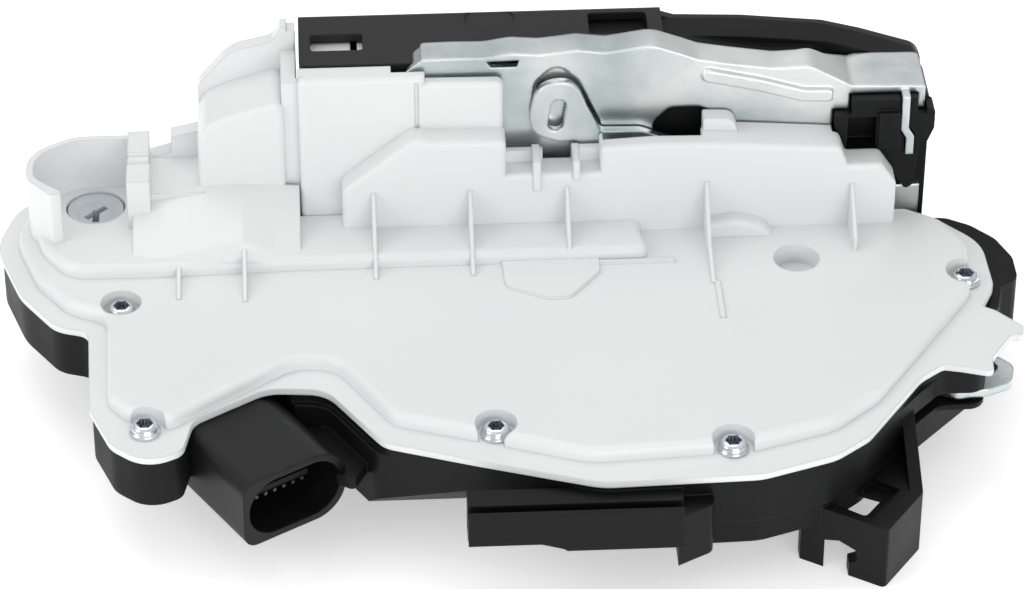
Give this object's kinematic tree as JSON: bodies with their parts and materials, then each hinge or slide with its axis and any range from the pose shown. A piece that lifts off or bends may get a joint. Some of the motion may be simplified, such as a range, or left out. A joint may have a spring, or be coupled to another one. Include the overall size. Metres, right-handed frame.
{
  "type": "car door lock",
  "caption": "Power door latch for a car: white moulded cover over a black actuator housing, plug socket, cable levers and a slotted latch unit with rotary catch and pawl.",
  "frame": {"origin": "midpoint between the two fixing bolt holes, on the outer face of the black steel face plate", "axes": "+X along the lock's length towards the end with the clip tab, +Y out of the latch's face, +Z out of the white cover"},
  "size_m": [0.2091, 0.117, 0.0701],
  "materials": {
    "white_plastic": "smooth satin white, slightly cool",
    "black_plastic": "moulded black with a fine satin grain",
    "grey_plastic": "satin, slightly bluish off-white",
    "natural_plastic": "unfilled, milky satin",
    "jacket_plastic": "smooth black jacket",
    "dark_plastic": "satin",
    "black_steel": "black coated sheet steel, satin",
    "zinc_sheet": "bright zinc plate with faint clouds",
    "plain_steel": "oiled blanked steel",
    "zinc_screw": "bright, slightly bluish zinc",
    "spring_steel": "dark drawn wire",
    "motor_can": "drawn steel can",
    "seal_rubber": "soft matt rubber",
    "contact_copper": "tinned copper alloy"
  },
  "bodies": {
    "case": {"front_cover": "white_plastic", "rear_housing": "black_plastic", "connector_shell": "black_plastic", "latch_frame": "black_plastic", "contact_carrier": "natural_plastic", "switch_1": "dark_plastic", "switch_2": "dark_plastic", "switch_3": "dark_plastic", "lock_motor_end": "dark_plastic", "safe_motor_end": "dark_plastic", "face_plate": "black_steel", "back_plate": "zinc_sheet", "cover_screws": "zinc_screw", "latch_screws": "zinc_screw", "fork_pin": "zinc_screw", "pawl_pin": "zinc_screw", "outer_pin": "zinc_screw", "retaining_clips": "zinc_screw", "fork_spring": "spring_steel", "pawl_spring": "spring_steel", "lock_motor": "motor_can", "safe_motor": "motor_can", "cover_seal": "seal_rubber", "connector_seal": "seal_rubber", "slot_buffer": "seal_rubber", "connector_pins": "contact_copper", "contact_tracks": "contact_copper"},
    "fork": {"fork_bolt": "plain_steel", "fork_jacket": "jacket_plastic"},
    "outer_lever": {"outer_lever": "zinc_sheet"},
    "pawl": {"pawl": "plain_steel"},
    "inner_lever": {"inner_lever": "zinc_sheet"},
    "key_follower": {"key_follower": "grey_plastic"},
    "key_link": {"key_link": "natural_plastic"},
    "lock_worm": {"lock_worm": "plain_steel", "lock_shaft": "plain_steel"},
    "lock_wheel": {"lock_wheel": "natural_plastic"},
    "lock_lever": {"lock_lever": "natural_plastic"},
    "safe_worm": {"safe_worm": "plain_steel", "safe_shaft": "plain_steel"},
    "safe_wheel": {"safe_wheel": "natural_plastic"},
    "safe_lever": {"safe_lever": "natural_plastic"},
    "switch_1_button": {"switch_1_button": "dark_plastic"},
    "switch_2_button": {"switch_2_button": "dark_plastic"},
    "switch_3_button": {"switch_3_button": "dark_plastic"}
  },
  "joints": [
    {"name": "fork_turn", "type": "hinge", "parent": "case", "child": "fork", "pos_m": [0.012, -0.006, -0.019], "axis": [0, 1, 0], "range_deg": [0, 60], "stiffness_Nm_per_rad": 0.15, "springref_deg": -34.38},
    {"name": "outer_lever_turn", "type": "hinge", "parent": "case", "child": "outer_lever", "pos_m": [0.03, -0.0233, -0.018], "axis": [0, 1, 0], "range_deg": [0, 8], "stiffness_Nm_per_rad": 0.4, "springref_deg": -20.05},
    {"name": "pawl_turn", "type": "hinge", "parent": "case", "child": "pawl", "pos_m": [0.043, -0.006, -0.036], "axis": [0, 1, 0], "range_deg": [0, 16.1]},
    {"name": "inner_lever_turn", "type": "hinge", "parent": "case", "child": "inner_lever", "pos_m": [0.038, -0.054, -0.034], "axis": [0, 0, 1], "range_deg": [-16, 0], "stiffness_Nm_per_rad": 0.05, "springref_deg": 17.19},
    {"name": "key_link_slide", "type": "slide", "parent": "case", "child": "key_link", "axis": [1, 0, 0], "range_m": [-0.0058, 0.0058]},
    {"name": "key_follower_turn", "type": "hinge", "parent": "case", "child": "key_follower", "pos_m": [-0.113, -0.0205, -0.026], "axis": [0, 0, 1], "range_deg": [-35, 35]},
    {"name": "lock_worm_turn", "type": "hinge", "parent": "case", "child": "lock_worm", "pos_m": [-0.0165, -0.082, -0.034], "axis": [1, 0, 0], "range_deg": [-2160, 0]},
    {"name": "lock_wheel_turn", "type": "hinge", "parent": "case", "child": "lock_wheel", "pos_m": [-0.0165, -0.0668, -0.034], "axis": [0, 0, 1], "range_deg": [0, 90.01]},
    {"name": "lock_lever_turn", "type": "hinge", "parent": "case", "child": "lock_lever", "pos_m": [-0.0045, -0.04602, -0.0304], "axis": [0, 0, 1], "range_deg": [-30.01, 0]},
    {"name": "safe_worm_turn", "type": "hinge", "parent": "case", "child": "safe_worm", "pos_m": [-0.0605, -0.043, -0.034], "axis": [1, 0, 0], "range_deg": [0, 2160]},
    {"name": "safe_wheel_turn", "type": "hinge", "parent": "case", "child": "safe_wheel", "pos_m": [-0.0605, -0.0582, -0.034], "axis": [0, 0, 1], "range_deg": [0, 90.01]},
    {"name": "safe_lever_turn", "type": "hinge", "parent": "case", "child": "safe_lever", "pos_m": [-0.0365, -0.0582, -0.0304], "axis": [0, 0, 1], "range_deg": [-30.01, 0]},
    {"name": "switch_1_press", "type": "slide", "parent": "case", "child": "switch_1_button", "axis": [1, 0, 0], "range_m": [0, 0.0006], "stiffness_N_per_m": 60, "springref_m": -0.0006},
    {"name": "switch_2_press", "type": "slide", "parent": "case", "child": "switch_2_button", "axis": [0, -1, 0], "range_m": [0, 0.0006], "stiffness_N_per_m": 60, "springref_m": -0.0006},
    {"name": "switch_3_press", "type": "slide", "parent": "case", "child": "switch_3_button", "axis": [0, -1, 0], "range_m": [0, 0.0006], "stiffness_N_per_m": 60, "springref_m": -0.0006}
  ],
  "couplings": [
    {"joint": "pawl_turn", "follows": "outer_lever_turn", "ratio": 2},
    {"joint": "key_follower_turn", "follows": "key_link_slide", "rad_per_m": 105.26},
    {"joint": "lock_wheel_turn", "follows": "lock_worm_turn", "ratio": -0.041667},
    {"joint": "lock_lever_turn", "follows": "lock_worm_turn", "ratio": 0.013889},
    {"joint": "safe_wheel_turn", "follows": "safe_worm_turn", "ratio": 0.041667},
    {"joint": "safe_lever_turn", "follows": "safe_worm_turn", "ratio": -0.013889}
  ]
}
